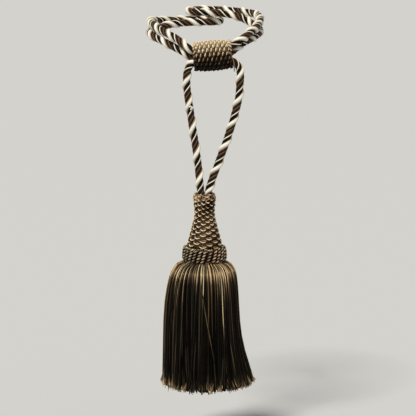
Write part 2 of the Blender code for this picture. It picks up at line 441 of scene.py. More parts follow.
def new_look(name, rough, spec):
    """A material, its node tree and its shader, set to a roughness and a gloss."""
    look = bpy.data.materials.new(name)
    look.use_nodes = True
    shader = look.node_tree.nodes["Principled BSDF"]
    shader.inputs["Roughness"].default_value = rough
    shader.inputs["Specular IOR Level"].default_value = spec
    return look, look.node_tree, shader


def math_node(tree, operation, number):
    """A math node with its second number set."""
    made = tree.nodes.new("ShaderNodeMath")
    made.operation = operation
    made.inputs[1].default_value = number
    return made


def multiplied(tree, first, second, share):
    """A colour darkened by another, as far as share says."""
    made = tree.nodes.new("ShaderNodeMix")
    made.data_type = "RGBA"
    made.blend_type = "MULTIPLY"
    made.inputs["Factor"].default_value = share
    tree.links.new(first, made.inputs["A"])
    tree.links.new(second, made.inputs["B"])
    return made.outputs["Result"]


def add_relief(tree, shader, height, strength):
    """Bump on the shader from a height between 0 and 1."""
    relief = node(tree, "ShaderNodeBump", Strength=strength, Distance=RELIEF_DEPTH)
    tree.links.new(height, relief.inputs["Height"])
    tree.links.new(relief.outputs["Normal"], shader.inputs["Normal"])


def yarn_look(name, stops, stripes, bump=0.25, rough=0.45, spread=0.3, spec=0.3, grain=0.8):
    """Satin yarn: colour by the tint that each yarn carries, painted light and shade included,
    and a mottle (grain is how fine it is along the yarn), with fine twisted threads and painted
    shade in the grooves between them."""
    look, tree, shader = new_look(name, rough, spec)
    link = tree.links.new
    uv = tree.nodes.new("ShaderNodeUVMap")
    uv.uv_map = "yarn_uv"
    own = tree.nodes.new("ShaderNodeAttribute")
    own.attribute_name = "yarn"
    parts = tree.nodes.new("ShaderNodeSeparateColor")
    link(own.outputs["Color"], parts.inputs["Color"])
    stretch = node(tree, "ShaderNodeMapping", Scale=(6.0, grain, 1.0))
    link(uv.outputs["UV"], stretch.inputs["Vector"])
    mottle = node(tree, "ShaderNodeTexNoise", Scale=1.0, Detail=2.0, Roughness=0.6)
    link(stretch.outputs["Vector"], mottle.inputs["Vector"])
    shift = math_node(tree, "MULTIPLY_ADD", spread)
    link(mottle.outputs["Fac"], shift.inputs[0])
    link(parts.outputs["Red"], shift.inputs[2])
    middle = math_node(tree, "SUBTRACT", spread / 2)
    link(shift.outputs["Value"], middle.inputs[0])
    colours = ramp(tree, stops)
    link(middle.outputs["Value"], colours.inputs["Fac"])
    threads = node(tree, "ShaderNodeTexWave", Scale=stripes * TAU / 20.0, Distortion=0.6, Detail=1.0)
    threads.inputs["Detail Scale"].default_value = 2.0
    threads.wave_type = "BANDS"
    threads.bands_direction = "X"
    link(uv.outputs["UV"], threads.inputs["Vector"])
    groove = ramp(tree, GROOVE_SHADE)
    link(threads.outputs["Fac"], groove.inputs["Fac"])
    dye = ramp(tree, DYE)
    link(parts.outputs["Blue"], dye.inputs["Fac"])
    # Painted shade in the grooves between the fine threads.
    ribbed = multiplied(tree, colours.outputs["Color"], groove.outputs["Color"], GROOVE_SHARE)
    dyed = multiplied(tree, ribbed, dye.outputs["Color"], 1.0)
    link(dyed, shader.inputs["Base Color"])
    add_relief(tree, shader, threads.outputs["Fac"], bump)
    return look


def plain_look(name, colour, rough=0.9, scale=900.0):
    """The dull dark ground behind the yarns, with a fine felted mottle; its near-black colour is painted
    shade, the shade deep between the yarns.
    """
    look, tree, shader = new_look(name, rough, 0.1)
    where = tree.nodes.new("ShaderNodeTexCoord")
    mottle = node(tree, "ShaderNodeTexNoise", Scale=scale, Detail=3.0, Roughness=0.6)
    tree.links.new(where.outputs["Object"], mottle.inputs["Vector"])
    dark = tuple(c * 0.55 for c in colour)
    light = tuple(c * 1.5 for c in colour)
    colours = ramp(tree, [(0.3, dark), (0.7, light)])
    tree.links.new(mottle.outputs["Fac"], colours.inputs["Fac"])
    tree.links.new(colours.outputs["Color"], shader.inputs["Base Color"])
    add_relief(tree, shader, mottle.outputs["Fac"], 0.3)
    return look


CREAM = yarn_look(
    "cream_satin",
    [
        (0.0, (0.10, 0.06, 0.025)), (0.35, (0.50, 0.41, 0.25)), (0.65, (0.84, 0.79, 0.65)),
        (1.0, (0.97, 0.95, 0.88)),
    ],
    stripes=9, rough=0.4, spread=0.2,
)
TAN = yarn_look(
    "tan_satin",
    [(0.0, (0.03, 0.014, 0.006)), (0.5, (0.20, 0.12, 0.06)), (1.0, (0.56, 0.42, 0.26))],
    stripes=5, bump=0.3, spec=0.2,
)
BROWN = yarn_look(
    "brown_satin",
    [(0.0, (0.006, 0.002, 0.001)), (0.5, (0.034, 0.013, 0.006)), (1.0, (0.15, 0.075, 0.036))],
    stripes=5, bump=0.3, spec=0.08,
)
DARK = yarn_look(
    "dark_satin",
    [(0.0, (0.002, 0.001, 0.0006)), (0.5, (0.010, 0.005, 0.0025)), (1.0, (0.06, 0.034, 0.018))],
    stripes=5, bump=0.3, spec=0.05,
)
GOLD = yarn_look(
    "gold_satin",
    [
        (0.0, (0.008, 0.005, 0.002)), (0.25, (0.07, 0.042, 0.015)), (0.5, (0.31, 0.215, 0.080)),
        (0.75, (0.82, 0.61, 0.28)), (1.0, (1.0, 0.87, 0.56)),
    ],
    stripes=4, rough=0.4, spec=0.24, grain=5.0,
)
ROSE = yarn_look(
    "rose_tan_satin",
    [
        (0.0, (0.008, 0.004, 0.002)), (0.25, (0.07, 0.039, 0.020)), (0.5, (0.30, 0.205, 0.115)),
        (0.75, (0.77, 0.58, 0.41)), (1.0, (1.0, 0.87, 0.71)),
    ],
    stripes=4, rough=0.4, spec=0.24, grain=5.0,
)
OLIVE = yarn_look(
    "olive_brown_satin",
    [
        (0.0, (0.006, 0.003, 0.0015)), (0.5, (0.095, 0.055, 0.021)), (0.75, (0.21, 0.135, 0.055)),
        (1.0, (0.46, 0.32, 0.14)),
    ],
    stripes=4, bump=0.3, spec=0.06, spread=0.45, grain=5.0,
)
BEIGE = yarn_look(
    "beige_satin",
    [
        (0.0, (0.005, 0.003, 0.0015)), (0.3, (0.05, 0.030, 0.015)), (0.6, (0.25, 0.175, 0.10)),
        (1.0, (0.74, 0.61, 0.44)),
    ],
    stripes=4, bump=0.3, spec=0.12, grain=4.0,
)
THREAD = yarn_look(
    "skirt_thread_satin",
    [
        (0.0, (0.0012, 0.0011, 0.0008)), (0.2, (0.008, 0.0066, 0.0044)), (0.45, (0.045, 0.035, 0.0225)),
        (0.7, (0.25, 0.168, 0.086)), (1.0, (0.92, 0.74, 0.44)),
    ],
    stripes=3, bump=0.15, rough=0.6, spec=0.04, spread=0.10,
)
# Near black: painted shade behind and between the yarns.
GROUND = plain_look("dark_ground", (0.012, 0.008, 0.005))

# ---------------- rope

LAY = 21.0                      # one turn of the rope's strands
# Distances along the rope at which its fat cream ply faces forward
FORWARD = [
    21.5, 43.0, 65.5, 86.5, 106.5, 124.0, 170.0, 191.5, 459.5, 527.0, 547.0, 570.0, 801.0, 826.5,
    850.0, 908.0, 929.5, 950.0, 970.0, 991.5, 1012.0,
]
# Ply: its angle in the rope, how far out its middle lies, its radius, sides, how far it wanders
# round the rope, tint, how much painted shade darkens its inner side, its material's place in the list
PLIES = [
    (0.0, 2.38, 1.78, 16, 0.0, 0.94, 1.30, 0),
    (90.0, 1.80, 1.26, 12, 3.0, 0.38, 0.6, 3),
    (138.0, 2.84, 0.54, 8, 3.0, 0.82, 1.1, 0),
    (182.0, 1.96, 1.24, 12, 4.0, 0.38, 0.8, 1),
    (232.0, 2.46, 0.82, 10, 4.0, 0.28, 0.8, 2),
    (270.0, 2.16, 0.92, 10, 4.0, 0.34, 0.8, 1),
    (304.0, 2.86, 0.42, 8, 2.0, 0.74, 0.9, 2),
]
AHEAD = (0.0, -0.986, 0.165)    # the way to the camera
# Small slub that sticks out of the left leg
CURLS = [
    [(-13.0, -112.6, -67.2), (-12.0, -113.4, -66.4), (-10.8, -113.6, -67.2), (-9.7, -113.4, -68.2)],
    [(-11.8, -113.2, -69.4), (-11.0, -113.7, -68.4), (-10.2, -113.5, -67.4)],
]
CURL_R = 0.62


def rope_turn(first, second, along):
    """How far the strands have turned at each point of the rope."""
    facing = np.interp(FORWARD, along, np.unwrap(np.arctan2(second @ AHEAD, first @ AHEAD)))
    turned = [facing[0]]
    for k in range(1, len(FORWARD)):
        wanted = turned[-1] + TAU * (FORWARD[k] - FORWARD[k - 1]) / LAY
        turned.append(facing[k] + TAU * round((wanted - facing[k]) / TAU))
    end = float(along[-1])
    before = turned[0] - TAU * FORWARD[0] / LAY
    after = turned[-1] + TAU * (end - FORWARD[-1]) / LAY
    return np.interp(along, [0.0, *FORWARD, end], [before, *turned, after])


def make_rope():
    """Plies laid to the right round the rope's line: a fat cream one and a thin one among browns."""
    line = smooth_line(ROUTE, 1.0)
    first, second = steady_frame(line)
    along = lengths(line)
    turn = rope_turn(first, second, along)
    yarns = Yarns()
    for k, (angle, away, radius, sides, wander, tint, edge, slot) in enumerate(PLIES):
        sway = math.radians(wander) * np.sin(along / 11.0 + 2.0 * k)
        round_at = turn + math.radians(angle) + sway
        points, out = wind(line, first, second, away, round_at)
        thick = radius * (1.0 + 0.05 * np.sin(along / 7.3 + k) + 0.03 * np.sin(along / 2.9 + 2 * k))
        yarns.add(points, out, thick, sides, slot, tint, turn=-0.5, edge=edge)
    for curl in CURLS:
        yarns.add(smooth_line(curl, 0.4), (0.0, -1.0, 0.1), CURL_R, 8, 0, 0.7, turn=0.6)
    made = yarns.mesh("rope_strands", [CREAM, BROWN, TAN, DARK])
    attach(made, "root")
    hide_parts("rope")


make_rope()

# ---------------- woven covers


def along_profile(profile, step):
    """Even steps along a smoothed profile of (distance along, radius), and its whole length."""
    p = np.array(profile, dtype=float)
    d = lengths(p)
    fine = np.linspace(0.0, d[-1], 400)
    q = np.stack([np.interp(fine, d, p[:, k]) for k in range(2)], axis=-1)
    kernel = np.hanning(17)
    kernel /= kernel.sum()
    pad = len(kernel) // 2
    for k in range(2):
        ends = np.concatenate([
            2 * q[0, k] - q[1:pad + 1, k][::-1], q[:, k], 2 * q[-1, k] - q[-pad - 1:-1, k][::-1],
        ])
        q[:, k] = np.convolve(ends, kernel, "valid")
    d = lengths(q)
    even = np.linspace(0.0, d[-1], int(round(d[-1] / step)) + 1)
    return np.stack([np.interp(even, d, q[:, k]) for k in range(2)], axis=-1), d[-1]


def woven(
    name, profile, place, sense, warps, row, ease, weft, fillers, warp, lean, tint, looks, seed,
):
    """A basket weave round a turned form. The weft goes round and round in one long spiral over an
    odd number of warps, so each round passes the warps the other way from the last.

    row is the mean distance between rounds and ease how much closer the first ones are. weft is
    (depth of its middle, swing in and out, ply radius, ply offset, ply lay, points a warp, glint),
    where glint is a painted highlight: how much lighter it is where it comes out, and darker where
    it goes under. Each filler is a duller yarn beside the weft: (how far along the profile, how
    far in, radius, how much darker, hue). warp is (yarns side by side, share of the way round that
    they cover, depth, swing, flatness, gain, drop, hue), where gain and drop turn the tint into the
    warp's own. lean moves the weft along the profile, from its angle, its wave and its share of the
    profile; tint gives the painted light and shade from the angle and that share.
    """
    rng = np.random.default_rng(seed)
    fine, total = along_profile(profile, 0.1)
    d = lengths(fine)
    ways = tangents(fine)
    outs = np.stack([-ways[:, 1], ways[:, 0]], axis=-1) * sense

    def surface(at, angle, lift):
        s = np.interp(at, d, fine[:, 0]) + lift * np.interp(at, d, outs[:, 0])
        r = np.interp(at, d, fine[:, 1]) + lift * np.interp(at, d, outs[:, 1])
        return place(s, r, angle)

    yarns = Yarns()
    depth, swing, ply, ply_off, ply_lay, per, glint = weft
    rounds = total / row
    turns = np.linspace(0.0, rounds, int(rounds * warps * per))
    angle = TAU * turns
    wave = angle * warps / 2
    share = turns / rounds
    level = total * share * (1.0 - ease + ease * share)
    hold = np.clip(np.minimum(level, total - level) / 3.0, 0.0, 1.0)
    stitch = rng.standard_normal((3, int(wave[-1] / TAU) + 2))[:, np.round(wave / TAU).astype(int)]
    seen = (1.0 + np.cos(wave)) / 2
    loose = 0.09 * row * np.sin(angle * 3.3 + 0.6) * np.sin(angle * 0.37 + 1.1)
    at = level + hold * (lean(angle, wave, share) + loose + 0.16 * stitch[0] * seen)
    lift = -depth + swing * np.cos(wave) + 0.08 * stitch[1] * seen
    line = surface(at, angle, lift)
    up = surface(at, angle, lift + 1.0) - line
    thick = ply * (0.80 + 0.30 * np.cos(wave))
    shade = tint(angle, share) + 0.10 * np.sin(wave * 0.37 + 1.3) * np.sin(angle * 1.7)
    # The weft carries the tint's painted light and shade, a painted highlight where it comes out,
    # painted shade where it goes under, and painted shade on its plies' sides.
    lit = shade + glint * np.cos(wave) + 0.09 * stitch[2] * seen
    yarns.add_plied(line, up, ply_off, ply_lay, thick, 6, (0, 1), lit, turn=0.8, edge=0.15)
    for k, (aside, inward, radius, darker, hue) in enumerate(fillers):
        beside = np.clip(at + hold * (aside + 0.22 * np.sin(wave * 1.61 + 4.0 * k)), 0.0, total)
        under = lift - inward + 0.12 * np.sin(wave * 0.61 + 2.0 * k)
        line = surface(beside, angle, under)
        up = surface(beside, angle, under + 1.0) - line
        # The fillers carry the tint's painted light and shade, a quarter of the weft's painted
        # highlight, and painted shade on their sides.
        dull = shade - darker + 0.25 * glint * np.cos(wave) + 0.26 * np.sin(wave * 1.27 + k)
        yarns.add(line, up, radius, 5, 1, dull, turn=1.2, edge=0.5, hue=hue)
    count, cover, deep, give, flat, gain, drop, dye = warp
    steps = np.linspace(0.0, total, int(rounds * 5))
    passed = np.interp(steps, level, turns)
    for j in range(warps):
        under = np.cos(math.pi * (passed + j * (1.0 - 1.0 / warps)))
        round_at = TAU * j / warps + 0.012 * rng.standard_normal()
        own = rng.uniform(-0.12, 0.12)
        own_dye = dye + rng.uniform(-0.35, 0.35)
        for i in range(count):
            across = (i - (count - 1) / 2) * cover * TAU / warps / count
            line = surface(steps, round_at + across, -deep - give * under)
            up = surface(steps, round_at + across, 1.0 - deep - give * under) - line
            # The warps carry the tint's painted light and shade, painted shade where the weft passes
            # over them, and painted shade on their sides.
            dark = gain * tint(np.full(len(steps), round_at), steps / total) - drop
            dark = dark - 0.14 * under + own + rng.uniform(-0.14, 0.14)
            thick = 0.56 * cover * TAU / warps / count * np.interp(steps, d, fine[:, 1])
            yarns.add(
                line, up, thick, 5, 2, dark, flat=flat, turn=1.2, edge=0.8,
                hue=np.clip(own_dye + rng.uniform(-0.15, 0.15), 0.0, 1.0),
            )
    return yarns.mesh(name, looks)


def head_place(s, r, angle):
    """Head: s is the height, the angle turns about Z."""
    x = HEAD_XY[0] + r * np.cos(angle)
    y = HEAD_XY[1] + r * np.sin(angle)
    return np.stack([x, y, s + 0.0 * x], axis=-1)


def slide_place(s, r, angle):
    """Slide: s is the distance from its middle along its own axis, the angle turns about that."""
    tilt = math.radians(SLIDE_TILT_DEG)
    up = r * np.sin(angle)
    x = SLIDE_AT[0] + s * math.cos(tilt) - up * math.sin(tilt)
    y = SLIDE_AT[1] + r * np.cos(angle)
    z = SLIDE_AT[2] + s * math.sin(tilt) + up * math.cos(tilt)
    return np.stack([x, y, z], axis=-1)


# Head: height, radius of the cover's outside, from the lip of the mouth down to the foot
HEAD_COVER = [
    (-142.3, 8.3),
    (-142.1, 8.9),
    (-143.2, 9.5),
    (-145.2, 9.8),
    (-149.0, 9.8),
    (-154.0, 9.2),
    (-159.0, 9.0),
    (-163.0, 9.5),
    (-167.3, 10.7),
    (-172.0, 11.9),
    (-177.4, 13.3),
    (-182.0, 14.5),
    (-185.6, 15.3),
    (-188.8, 15.5),
]
# Loose gold turns round the head's mouth: height, radius, how far they wander, phase
HEAD_RIM = [
    (-142.0, 7.9, 0.25, 3.7),
    (-142.3, 8.4, 0.30, 0.0),
    (-143.1, 8.8, 0.35, 1.9),
    (-144.3, 9.1, 0.40, 5.1),
    (-145.7, 9.3, 0.40, 2.6),
]
HALF = SLIDE_LENGTH / 2
# Slide: distance from the middle, radius of the cover's outside, from one lip to the other
SLIDE_COVER = [
    (share * HALF, radius)
    for share, radius in [
        (-0.98, 10.8), (-0.975, 11.2), (-0.95, 11.7), (-0.84, 12.3), (-0.55, 13.0), (0.0, 13.4),
        (0.55, 13.0), (0.82, 12.2), (0.92, 11.6), (0.95, 11.2), (0.955, 10.8),
    ]
]
# Slide: the same for the dark barrel under the cover, once round its section
SLIDE_GROUND = [
    (share * HALF, radius)
    for share, radius in [
        (-0.92, 10.2), (-0.78, 10.8), (0.74, 10.8), (0.88, 10.2), (0.86, 10.1), (0.8, 9.8),
        (0.6, 9.4), (-0.6, 9.4), (-0.8, 9.8), (-0.90, 10.1), (-0.92, 10.2),
    ]
]
# Loose turns round the slide's mouths: distance from the middle, radius, wander, phase
SLIDE_RIM = [
    (14.4, 12.0, 0.25, 5.0),
    (15.4, 11.7, 0.30, 0.4),
    (15.9, 11.1, 0.35, 2.3),
    (15.2, 10.6, 0.12, 3.4),
]
RIM_LAY = 2.6                   # one turn of a loose yarn's two plies
# Thin yarn that has worked loose at the slide's right end
LOOSE_YARN = [
    (19.6, -117.4, -19.6),
    (21.9, -117.6, -22.0),
    (24.0, -116.8, -25.6),
    (24.9, -115.6, -29.4),
    (25.1, -114.4, -33.0),
    (25.3, -113.4, -36.6),
]


def head_lean(angle, wave, share):
    """Each stitch sags in the middle, and the upper rounds slope down to the right."""
    slope = 0.6 + 1.8 * np.clip(1.0 - np.abs(share - 0.24) / 0.2, 0.0, 1.0)
    return np.cos(wave) + slope * np.cos(angle)


def head_tint_and_shade(angle, share):
    """Gold at the mouth, with painted shade at the neck and on the right side, gold again towards the
    foot.
    """
    neck = np.clip(1.0 - np.abs(share - 0.26) / 0.16, 0.0, 1.0)
    return 0.59 - 0.27 * neck + 0.06 * np.sin(3.0 * angle + 9.0 * share) - 0.08 * np.cos(angle)


def make_head():
    """The head's cover over a dark ground, with the socket that the rope goes into."""
    cover = woven(
        "head_cover", HEAD_COVER, head_place, -1.0, 15, 2.3, 0.16,
        weft=(1.05, 0.78, 0.31, 0.20, 2.8, 9, 0.54),
        fillers=[(-1.00, 0.20, 0.28, 0.22, 0.3), (-1.70, 0.35, 0.28, 0.30, 0.2)],
        warp=(3, 0.84, 1.30, 0.42, 0.55, 1.0, 0.29, 0.46),
        lean=head_lean, tint=head_tint_and_shade, looks=[GOLD, ROSE, OLIVE], seed=4,
    )
    rim = Yarns()
    round_at = np.linspace(0.0, TAU, 190)
    for height, radius, wander, phase in HEAD_RIM:
        r = radius + wander * np.sin(7 * round_at + phase) * np.sin(2 * round_at + 2 * phase)
        z = height + 1.8 * wander * np.sin(9 * round_at + 2 * phase) * np.cos(2 * round_at + phase)
        shade = 0.62 + 0.42 * np.sin(11 * round_at + 3 * phase) * np.sin(17 * round_at + phase)
        # Each ply has painted shade on its side away from the outside.
        rim.add_plied(
            head_place(z, r, round_at), outward(round_at, 1.0), 0.26, RIM_LAY, 0.33, 6, (0, 1),
            shade, turn=0.8, edge=0.8, hue=0.3,
        )
    turns = rim.mesh("head_rim", [GOLD, ROSE])
    # The socket, its mouth, and the ground a cover's thickness below the cover
    inner = [(s, r - 2.1) for s, r in HEAD_COVER[3:]]
    profile = [(-150.3, 7.75), (-144.6, 7.75), (-144.3, 8.0), *inner, (-190.0, 13.2)]
    ground = lathe("head_ground", profile, head_place, 64, GROUND, closed=True)
    for piece in (cover, turns, ground):
        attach(piece, "root")
    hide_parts("head")


def slide_painted_light(angle, share):
    """Painted light and shade: bright gold on top where the light falls, dark below, and a little darker
    round the middle height.
    """
    height = np.sin(angle)
    return 0.37 + 0.84 * height - 0.08 * np.exp(-(height / 0.3) ** 2)


def slide_lean(angle, wave, share):
    """The stitches slant, less so on top."""
    return -0.52 * (1.0 - 0.5 * np.clip(np.sin(angle), 0, 1)) * np.sin(wave)


def make_slide():
    """The slide's cover over a hollow dark barrel."""
    cover = woven(
        "slide_cover", SLIDE_COVER, slide_place, 1.0, 19, 1.87, 0.0,
        weft=(1.25, 0.88, 0.35, 0.21, 2.6, 8, 0.38),
        fillers=[(0.88, 0.20, 0.32, 0.16, 0.4)],
        warp=(3, 0.95, 1.34, 0.42, 0.7, 1.30, 0.52, 0.42),
        lean=slide_lean, tint=slide_painted_light, looks=[GOLD, ROSE, OLIVE], seed=9,
    )
    ground = lathe("slide_ground", SLIDE_GROUND, slide_place, 64, GROUND)
    loose = Yarns()
    loose.add_plied(
        smooth_line(LOOSE_YARN, 0.8), (0.0, -1.0, 0.2), 0.26, 2.8, 0.36, 7, (0, 0), 0.66, turn=0.8,
    )
    thread = loose.mesh("slide_loose_yarn", [TAN])
    rims = Yarns()
    round_at = np.linspace(0.0, TAU, 170)
    for side in (-1.0, 1.0):
        for away, radius, wander, phase in SLIDE_RIM:
            s = side * (away + wander * np.sin(8 * round_at + phase) * np.cos(3 * round_at + side))
            r = radius + wander * np.sin(7 * round_at + 2 * phase) * np.sin(2 * round_at + phase)
            line = slide_place(s, r, round_at)
            up = slide_place(s + 0.4 * side, r + 1.0, round_at) - line
            # The rims carry the slide's painted light and shade, lighter and darker in bumps along them,
            # with painted shade on the plies' sides.
            shade = 0.78 * slide_painted_light(round_at, 0.5) + 0.34 * np.sin(21 * round_at + 3 * phase)
            rims.add_plied(line, up, 0.25, RIM_LAY, 0.34, 6, (0, 1), shade, turn=0.8, edge=0.5)
    turns = rims.mesh("slide_rims", [GOLD, ROSE])
    for piece in (cover, ground, thread, turns):
        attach(piece, "root")
    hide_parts("slide")


make_head()
make_slide()

# ---------------- collar

COLLAR_CORDS = 26
COLLAR_SLANT = 16.0             # degrees round the collar from top to foot
# Collar cord: radius and height of its middle line, from inside the rim to under the foot
COLLAR_CORD = [
    (15.9, -190.2),
    (15.95, -188.9),
    (16.3, -188.0),
    (16.9, -188.1),
    (17.5, -189.4),
    (17.85, -191.4),
    (18.0, -193.6),
    (18.05, -196.4),
    (17.9, -197.8),
    (17.3, -198.8),
    (16.2, -198.9),
    (15.2, -198.4),
]
COLLAR_PLY = (0.80, 0.60, 5.2)  # ply radius, how far out it lies, one turn
# Collar ground: height, radius, once round its section
COLLAR_GROUND = [
    (-188.9, 15.8), (-188.7, 16.3), (-191.0, 17.1), (-196.6, 17.3), (-198.4, 16.4), (-198.6, 12.4),
    (-190.8, 12.4), (-190.6, 15.8), (-188.9, 15.8),
]


def make_collar():
    """Short cords of two plies twisted together, side by side round the foot of the head."""
    rng = np.random.default_rng(12)
    table = np.array(COLLAR_CORD)
    d = lengths(table)
    even = np.linspace(0.0, d[-1], 40)
    r = np.interp(even, d, table[:, 0])
    z = np.interp(even, d, table[:, 1])
    yarns = Yarns()
    radius, away, lay = COLLAR_PLY
    slant = math.radians(COLLAR_SLANT) * (even / d[-1] - 0.5)
    rise = 0.6 * (1 - 2 * even / d[-1])
    for k in range(COLLAR_CORDS):
        place = TAU * (k + 0.5) / COLLAR_CORDS
        angle = place + 0.014 * rng.standard_normal() - slant
        line = head_place(z, r, angle)
        a, b = square_to(line, outward(angle, rise))
        spin = TAU * even / lay + 2.3 * k + 0.5 * rng.standard_normal()
        for ply in range(2):
            turned = spin + ply * math.pi
            points, out = wind(line, a, b, away, turned)
            # Painted shade: each ply is lightest where it faces out and darker as it turns away, so the
            # cords show as beads; edge paints more shade on its sides.
            shade = rng.uniform(0.76, 1.03) - 0.34 * (1.0 - np.cos(turned))
            hue = rng.uniform(0.30, 0.54) - 0.4 * min(0.0, math.cos(place))
            yarns.add(points, out, radius, 10, 0, shade, turn=0.9, edge=1.5, hue=hue)
    cords = yarns.mesh("collar_cords", [BEIGE])
    ground = lathe("collar_ground", COLLAR_GROUND, head_place, 70, GROUND)
    for piece in (cords, ground):
        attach(piece, "root")
    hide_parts("collar")


make_collar()

# ---------------- skirt

BUNDLES = 62                    # bunches of threads round the shoulder
THREAD_TOP = -198.8             # where the threads start, inside the collar
LIGHT_SHARE = 0.13              # share of the threads that are paler than the rest all the way
# Painted sheen: the shoulder is palest on this side.
PAINTED_SHEEN_SIDE_DEG = -75.0           # the side on which the shoulder is palest
# Painted shade where long gold threads come out from under the rest:
LOW_START = -210.0              # long gold threads that start below this fade in
HEM_LEVEL = -305.0              # the level whose outline the hem's tips and cut ends follow
FILLING_IN = 3.0                # how far the filling lies in from the skirt's outside
GOLDEN_ANGLE = 2.399963         # radians from one cut end to the next, so that they fill the round
# Height, share of the painted sheen, pale gold on the shoulder, that the threads have there
SHOULDER_PAINTED_SHEEN = [
    (-272.0, 0.0),
    (-254.0, 0.04),
    (-240.0, 0.06),
    (-230.0, 0.15),
    (-222.0, 0.34),
    (-215.0, 0.74),
    (-208.0, 1.0),
]
# Long gold threads: angle in degrees at the top and at the foot, height of each end, tint
GOLD_THREADS = [
    (-60.8, -59.6, -204.0, -268.0, 0.95),
    (-96.0, -74.0, -214.0, -288.0, 0.60),
    (-97.0, -99.0, -204.0, -296.0, 0.50),
    (-83.0, -84.5, -204.0, -262.0, 0.60),
    (-124.0, -127.0, -204.0, -300.0, 0.48),
    (-141.0, -143.0, -204.0, -306.0, 0.52),
    (-161.0, -164.0, -204.0, -306.0, 0.58),
    (-176.0, -177.0, -204.0, -306.0, 0.60),
    (-41.0, -38.0, -204.0, -290.0, 0.50),
    (-22.0, -20.0, -204.0, -306.0, 0.52),
    (-6.0, -4.0, -204.0, -306.0, 0.56),
    (24.0, 27.0, -204.0, -300.0, 0.62),
    (62.0, 60.0, -204.0, -300.0, 0.62),
    (100.0, 103.0, -204.0, -300.0, 0.62),
    (141.0, 139.0, -204.0, -300.0, 0.62),
    (-49.0, -42.0, -258.0, -301.0, 0.56),
    (-24.0, -13.0, -262.0, -302.0, 0.56),
    (-62.0, -66.0, -272.0, -304.0, 0.46),
    (-103.0, -106.0, -256.0, -303.0, 0.46),
    (-119.0, -114.0, -262.0, -303.0, 0.44),
    (-133.0, -138.0, -250.0, -304.0, 0.50),
    (8.0, 16.0, -258.0, -302.0, 0.56),
    (84.0, 77.0, -254.0, -303.0, 0.56),
    (168.0, 175.0, -262.0, -303.0, 0.56),
]
# Shares of a thread's height at which it is shaped, closest at the shoulder
FALL = [
    0.0, 0.008, 0.016, 0.026, 0.040, 0.058, 0.082, 0.115, 0.16, 0.22, 0.30, 0.40, 0.51, 0.63, 0.75,
    0.87, 0.965, 1.0,
]


def reach(angle, left, right, front, back):
    """How far the skirt reaches in a direction, between its reach to the sides, front and back."""
    across = np.where(np.cos(angle) > 0, right, left)
    along = np.where(np.sin(angle) > 0, back, front)
    return 1.0 / np.sqrt((np.cos(angle) / across) ** 2 + (np.sin(angle) / along) ** 2)


def flute(angle, height):
    """Soft bunches of threads: two waves round the skirt that wander a little on the way down."""
    first, second = SKIRT_FLUTES
    wander = 0.006 * (height + 200.0)
    wave = 0.6 * np.sin(first * angle + 0.7 + wander)
    wave = wave + 0.4 * np.sin(second * angle + 2.1 - 2.0 * wander)
    return FLUTE_DEPTH * (wave - 1.0) / 2


def skirt_radius(angle, height):
    """The skirt's outside at an angle and a height."""
    table = np.array(SKIRT_LEVELS)[::-1]
    columns = [np.interp(height, table[:, 0], table[:, k]) for k in range(1, 6)]
    return reach(angle, *columns[:4]) + columns[4] * flute(angle, height)


def hem_height(angle):
    """The hem sits a little higher at the sides and back than at the front."""
    return -307.0 + HEM_RISE * np.minimum(1.0, 1.0 + np.sin(angle))


def smooth_share(value, low, high):
    """0 below low, 1 above high, with soft ends."""
    share = np.clip((value - low) / (high - low), 0.0, 1.0)
    return share * share * (3 - 2 * share)


class Bunches:
    """Random values for threads in bunches, as columns: one a thread, or one a bunch for all its
    threads. Sways go either way and are mostly small."""

    def __init__(self, bunches, per, seed):
        self.rng = np.random.default_rng(seed)
        self.bunches = bunches
        self.per = per

    def column(self, values):
        return np.repeat(values, self.per)[:, None]

    def sway(self, size):
        return self.rng.normal(0.0, size, (self.bunches * self.per, 1))

    def bunch_sway(self, size):
        return self.column(self.rng.normal(0.0, size, self.bunches))

    def between(self, low, high):
        return self.rng.uniform(low, high, (self.bunches * self.per, 1))

    def bunch_between(self, low, high):
        return self.column(self.rng.uniform(low, high, self.bunches))


def thread_piece(name, points, out, radius, tint, **look):
    """Threads along lines of points as one piece of the skirt."""
    yarns = Yarns()
    yarns.add(points, out, radius, 6, 0, tint, **look)
    made = yarns.mesh(name, [THREAD])
    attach(made, "root")
    return made


